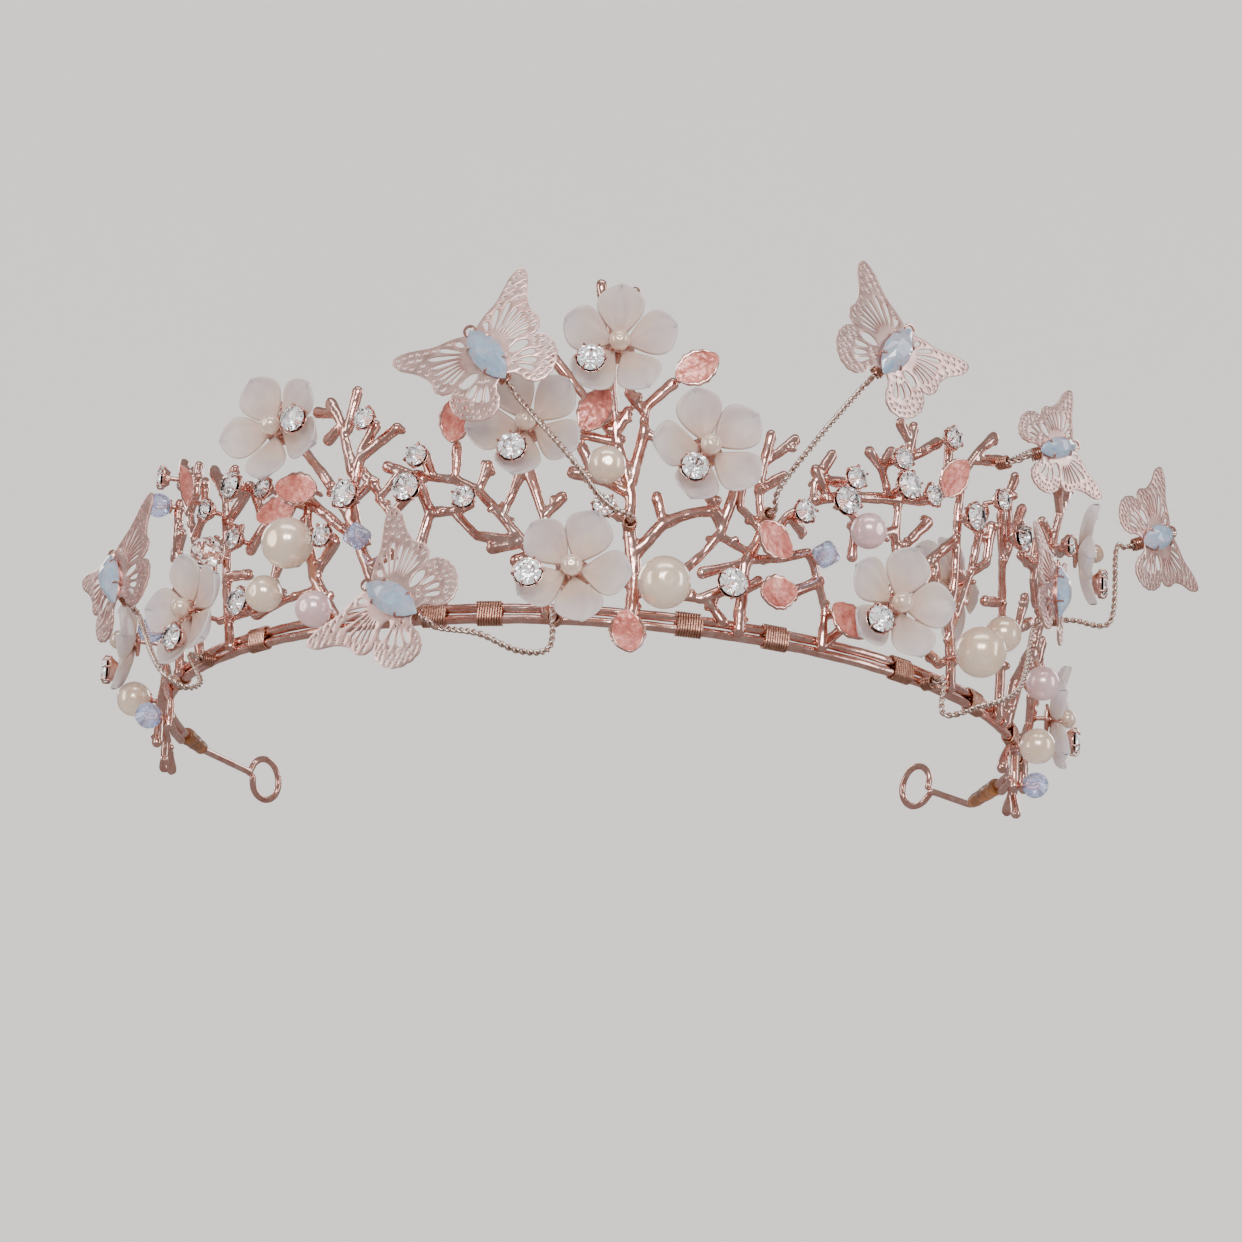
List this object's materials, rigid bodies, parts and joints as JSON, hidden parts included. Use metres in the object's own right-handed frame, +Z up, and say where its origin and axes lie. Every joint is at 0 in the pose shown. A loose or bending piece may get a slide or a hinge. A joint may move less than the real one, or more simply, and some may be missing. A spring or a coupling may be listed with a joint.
{
  "type": "bridal tiara",
  "caption": "Rose-gold bridal tiara: wire headband with coral twigs, frosted flowers, pearls, stones and trembling filigree butterflies on springy stems.",
  "frame": {"origin": "centre of the upper headband wire's circle, in the plane of that wire: where the wearer's head is", "axes": "-Y towards the front of the tiara, +X towards the side on the right as seen from the front, +Z up through the crown"},
  "size_m": [0.1882, 0.1323, 0.072],
  "materials": {
    "rose_gold": "polished rose gold, knobbly cast surface on the twigs",
    "copper_wire": "wound copper wire",
    "sleeve": "amber-brown shrunk sleeve",
    "petal": "frosted milky resin with a peach heart",
    "centre_bead": "pearlised",
    "cream_pearl": "nacre lustre",
    "pink_bead": "satin",
    "clear_bead": "faceted",
    "opal": "milky opal, iridescent",
    "stone": "brilliant cut",
    "leaf": "coral-pink enamel, veined",
    "wing": "pressed filigree, satin rose gold",
    "stem_wire": "twisted pair of silvery wires"
  },
  "bodies": {
    "tiara": {"bead_pins": "rose_gold", "binding_wraps": "copper_wire", "clear_bead": "clear_bead", "coral_centre": "rose_gold", "coral_centre_left": "rose_gold", "coral_centre_right": "rose_gold", "coral_far_left": "rose_gold", "coral_far_right": "rose_gold", "coral_left": "rose_gold", "coral_left_end": "rose_gold", "coral_right": "rose_gold", "coral_right_end": "rose_gold", "flower_beads": "centre_bead", "flower_centre_low": "petal", "flower_inner": "petal", "flower_left_end": "petal", "flower_left_high": "petal", "flower_left_side": "petal", "flower_pegs": "rose_gold", "flower_right_end": "petal", "flower_right_low": "petal", "flower_right_side": "petal", "flower_top": "petal", "flower_upper_left": "petal", "flower_upper_right": "petal", "headband_lower_wire": "rose_gold", "headband_upper_wire": "rose_gold", "large_pearls": "cream_pearl", "leaves": "leaf", "left_end_eye": "rose_gold", "left_end_sleeve": "sleeve", "opal_bicones": "opal", "pink_beads": "pink_bead", "right_end_eye": "rose_gold", "right_end_sleeve": "sleeve", "small_pearls": "cream_pearl", "stem_anchors": "copper_wire", "stone_cups": "rose_gold", "stones": "stone"},
    "stem_upper_left": {"stem_upper_left": "stem_wire"},
    "butterfly_upper_left": {"wings_upper_left": "wing", "opal_upper_left": "opal"},
    "stem_upper_right": {"stem_upper_right": "stem_wire"},
    "butterfly_upper_right": {"wings_upper_right": "wing", "opal_upper_right": "opal"},
    "stem_right_high": {"stem_right_high": "stem_wire"},
    "butterfly_right_high": {"wings_right_high": "wing", "opal_right_high": "opal"},
    "stem_left_low": {"stem_left_low": "stem_wire"},
    "butterfly_left_low": {"wings_left_low": "wing", "opal_left_low": "opal"},
    "stem_far_right": {"stem_far_right": "stem_wire"},
    "butterfly_far_right": {"wings_far_right": "wing", "opal_far_right": "opal"},
    "stem_right_side": {"stem_right_side": "stem_wire"},
    "butterfly_right_side": {"wings_right_side": "wing", "opal_right_side": "opal"},
    "stem_left_side": {"stem_left_side": "stem_wire"},
    "butterfly_left_side": {"wings_left_side": "wing", "opal_left_side": "opal"}
  },
  "joints": [
    {"name": "sway_upper_left", "type": "hinge", "parent": "tiara", "child": "stem_upper_left", "pos_m": [0.00404, -0.077, 0.013], "axis": [0.0523, -0.9986, 0], "range_deg": [-8, 8], "stiffness_Nm_per_rad": 0.006},
    {"name": "nod_upper_left", "type": "hinge", "parent": "stem_upper_left", "child": "butterfly_upper_left", "pos_m": [-0.0157, -0.08329, 0.03155], "axis": [0.7693, -0.1706, 0.6157], "range_deg": [-10, 10], "stiffness_Nm_per_rad": 0.003},
    {"name": "sway_upper_right", "type": "hinge", "parent": "tiara", "child": "stem_upper_right", "pos_m": [0.02515, -0.07304, 0.017], "axis": [0.3256, -0.9455, 0], "range_deg": [-8, 8], "stiffness_Nm_per_rad": 0.006},
    {"name": "nod_upper_right", "type": "hinge", "parent": "stem_upper_right", "child": "butterfly_upper_right", "pos_m": [0.04021, -0.07117, 0.04121], "axis": [0.7423, 0.446, -0.5], "range_deg": [-10, 10], "stiffness_Nm_per_rad": 0.003},
    {"name": "sway_right_high", "type": "hinge", "parent": "tiara", "child": "stem_right_high", "pos_m": [0.06414, -0.04833, 0.037], "axis": [0.7986, -0.6018, 0], "range_deg": [-8, 8], "stiffness_Nm_per_rad": 0.006},
    {"name": "nod_right_high", "type": "hinge", "parent": "stem_right_high", "child": "butterfly_right_high", "pos_m": [0.06793, -0.04466, 0.03966], "axis": [0.3164, 0.1682, -0.9336], "range_deg": [-10, 10], "stiffness_Nm_per_rad": 0.003},
    {"name": "sway_left_low", "type": "hinge", "parent": "tiara", "child": "stem_left_low", "pos_m": [-0.00651, -0.07442, -0.002], "axis": [-0.0872, -0.9962, 0], "range_deg": [-6, 6], "stiffness_Nm_per_rad": 0.006},
    {"name": "nod_left_low", "type": "hinge", "parent": "stem_left_low", "child": "butterfly_left_low", "pos_m": [-0.0261, -0.07858, -0.00469], "axis": [0.4668, -0.1792, 0.866], "range_deg": [-10, 10], "stiffness_Nm_per_rad": 0.003},
    {"name": "sway_far_right", "type": "hinge", "parent": "tiara", "child": "stem_far_right", "pos_m": [0.07823, -0.01099, 0.023], "axis": [0.9903, -0.1392, 0], "range_deg": [-8, 8], "stiffness_Nm_per_rad": 0.006},
    {"name": "nod_far_right", "type": "hinge", "parent": "stem_far_right", "child": "butterfly_far_right", "pos_m": [0.08909, -0.01544, 0.03557], "axis": [0.3543, 0.308, -0.8829], "range_deg": [-10, 10], "stiffness_Nm_per_rad": 0.003},
    {"name": "sway_right_side", "type": "hinge", "parent": "tiara", "child": "stem_right_side", "pos_m": [0.05282, -0.05282, -0.002], "axis": [0.7071, -0.7071, 0], "range_deg": [-6, 6], "stiffness_Nm_per_rad": 0.006},
    {"name": "nod_right_side", "type": "hinge", "parent": "stem_right_side", "child": "butterfly_right_side", "pos_m": [0.07072, -0.04296, 0.01288], "axis": [0.3584, 0.9336, 0], "range_deg": [-5, 10], "stiffness_Nm_per_rad": 0.003},
    {"name": "sway_left_side", "type": "hinge", "parent": "tiara", "child": "stem_left_side", "pos_m": [-0.06265, -0.04068, -0.002], "axis": [-0.8387, -0.5446, 0], "range_deg": [-6, 6], "stiffness_Nm_per_rad": 0.006},
    {"name": "nod_left_side", "type": "hinge", "parent": "stem_left_side", "child": "butterfly_left_side", "pos_m": [-0.07567, -0.03518, 0.008], "axis": [0.5108, -0.7574, 0.4067], "range_deg": [-10, 10], "stiffness_Nm_per_rad": 0.003}
  ]
}
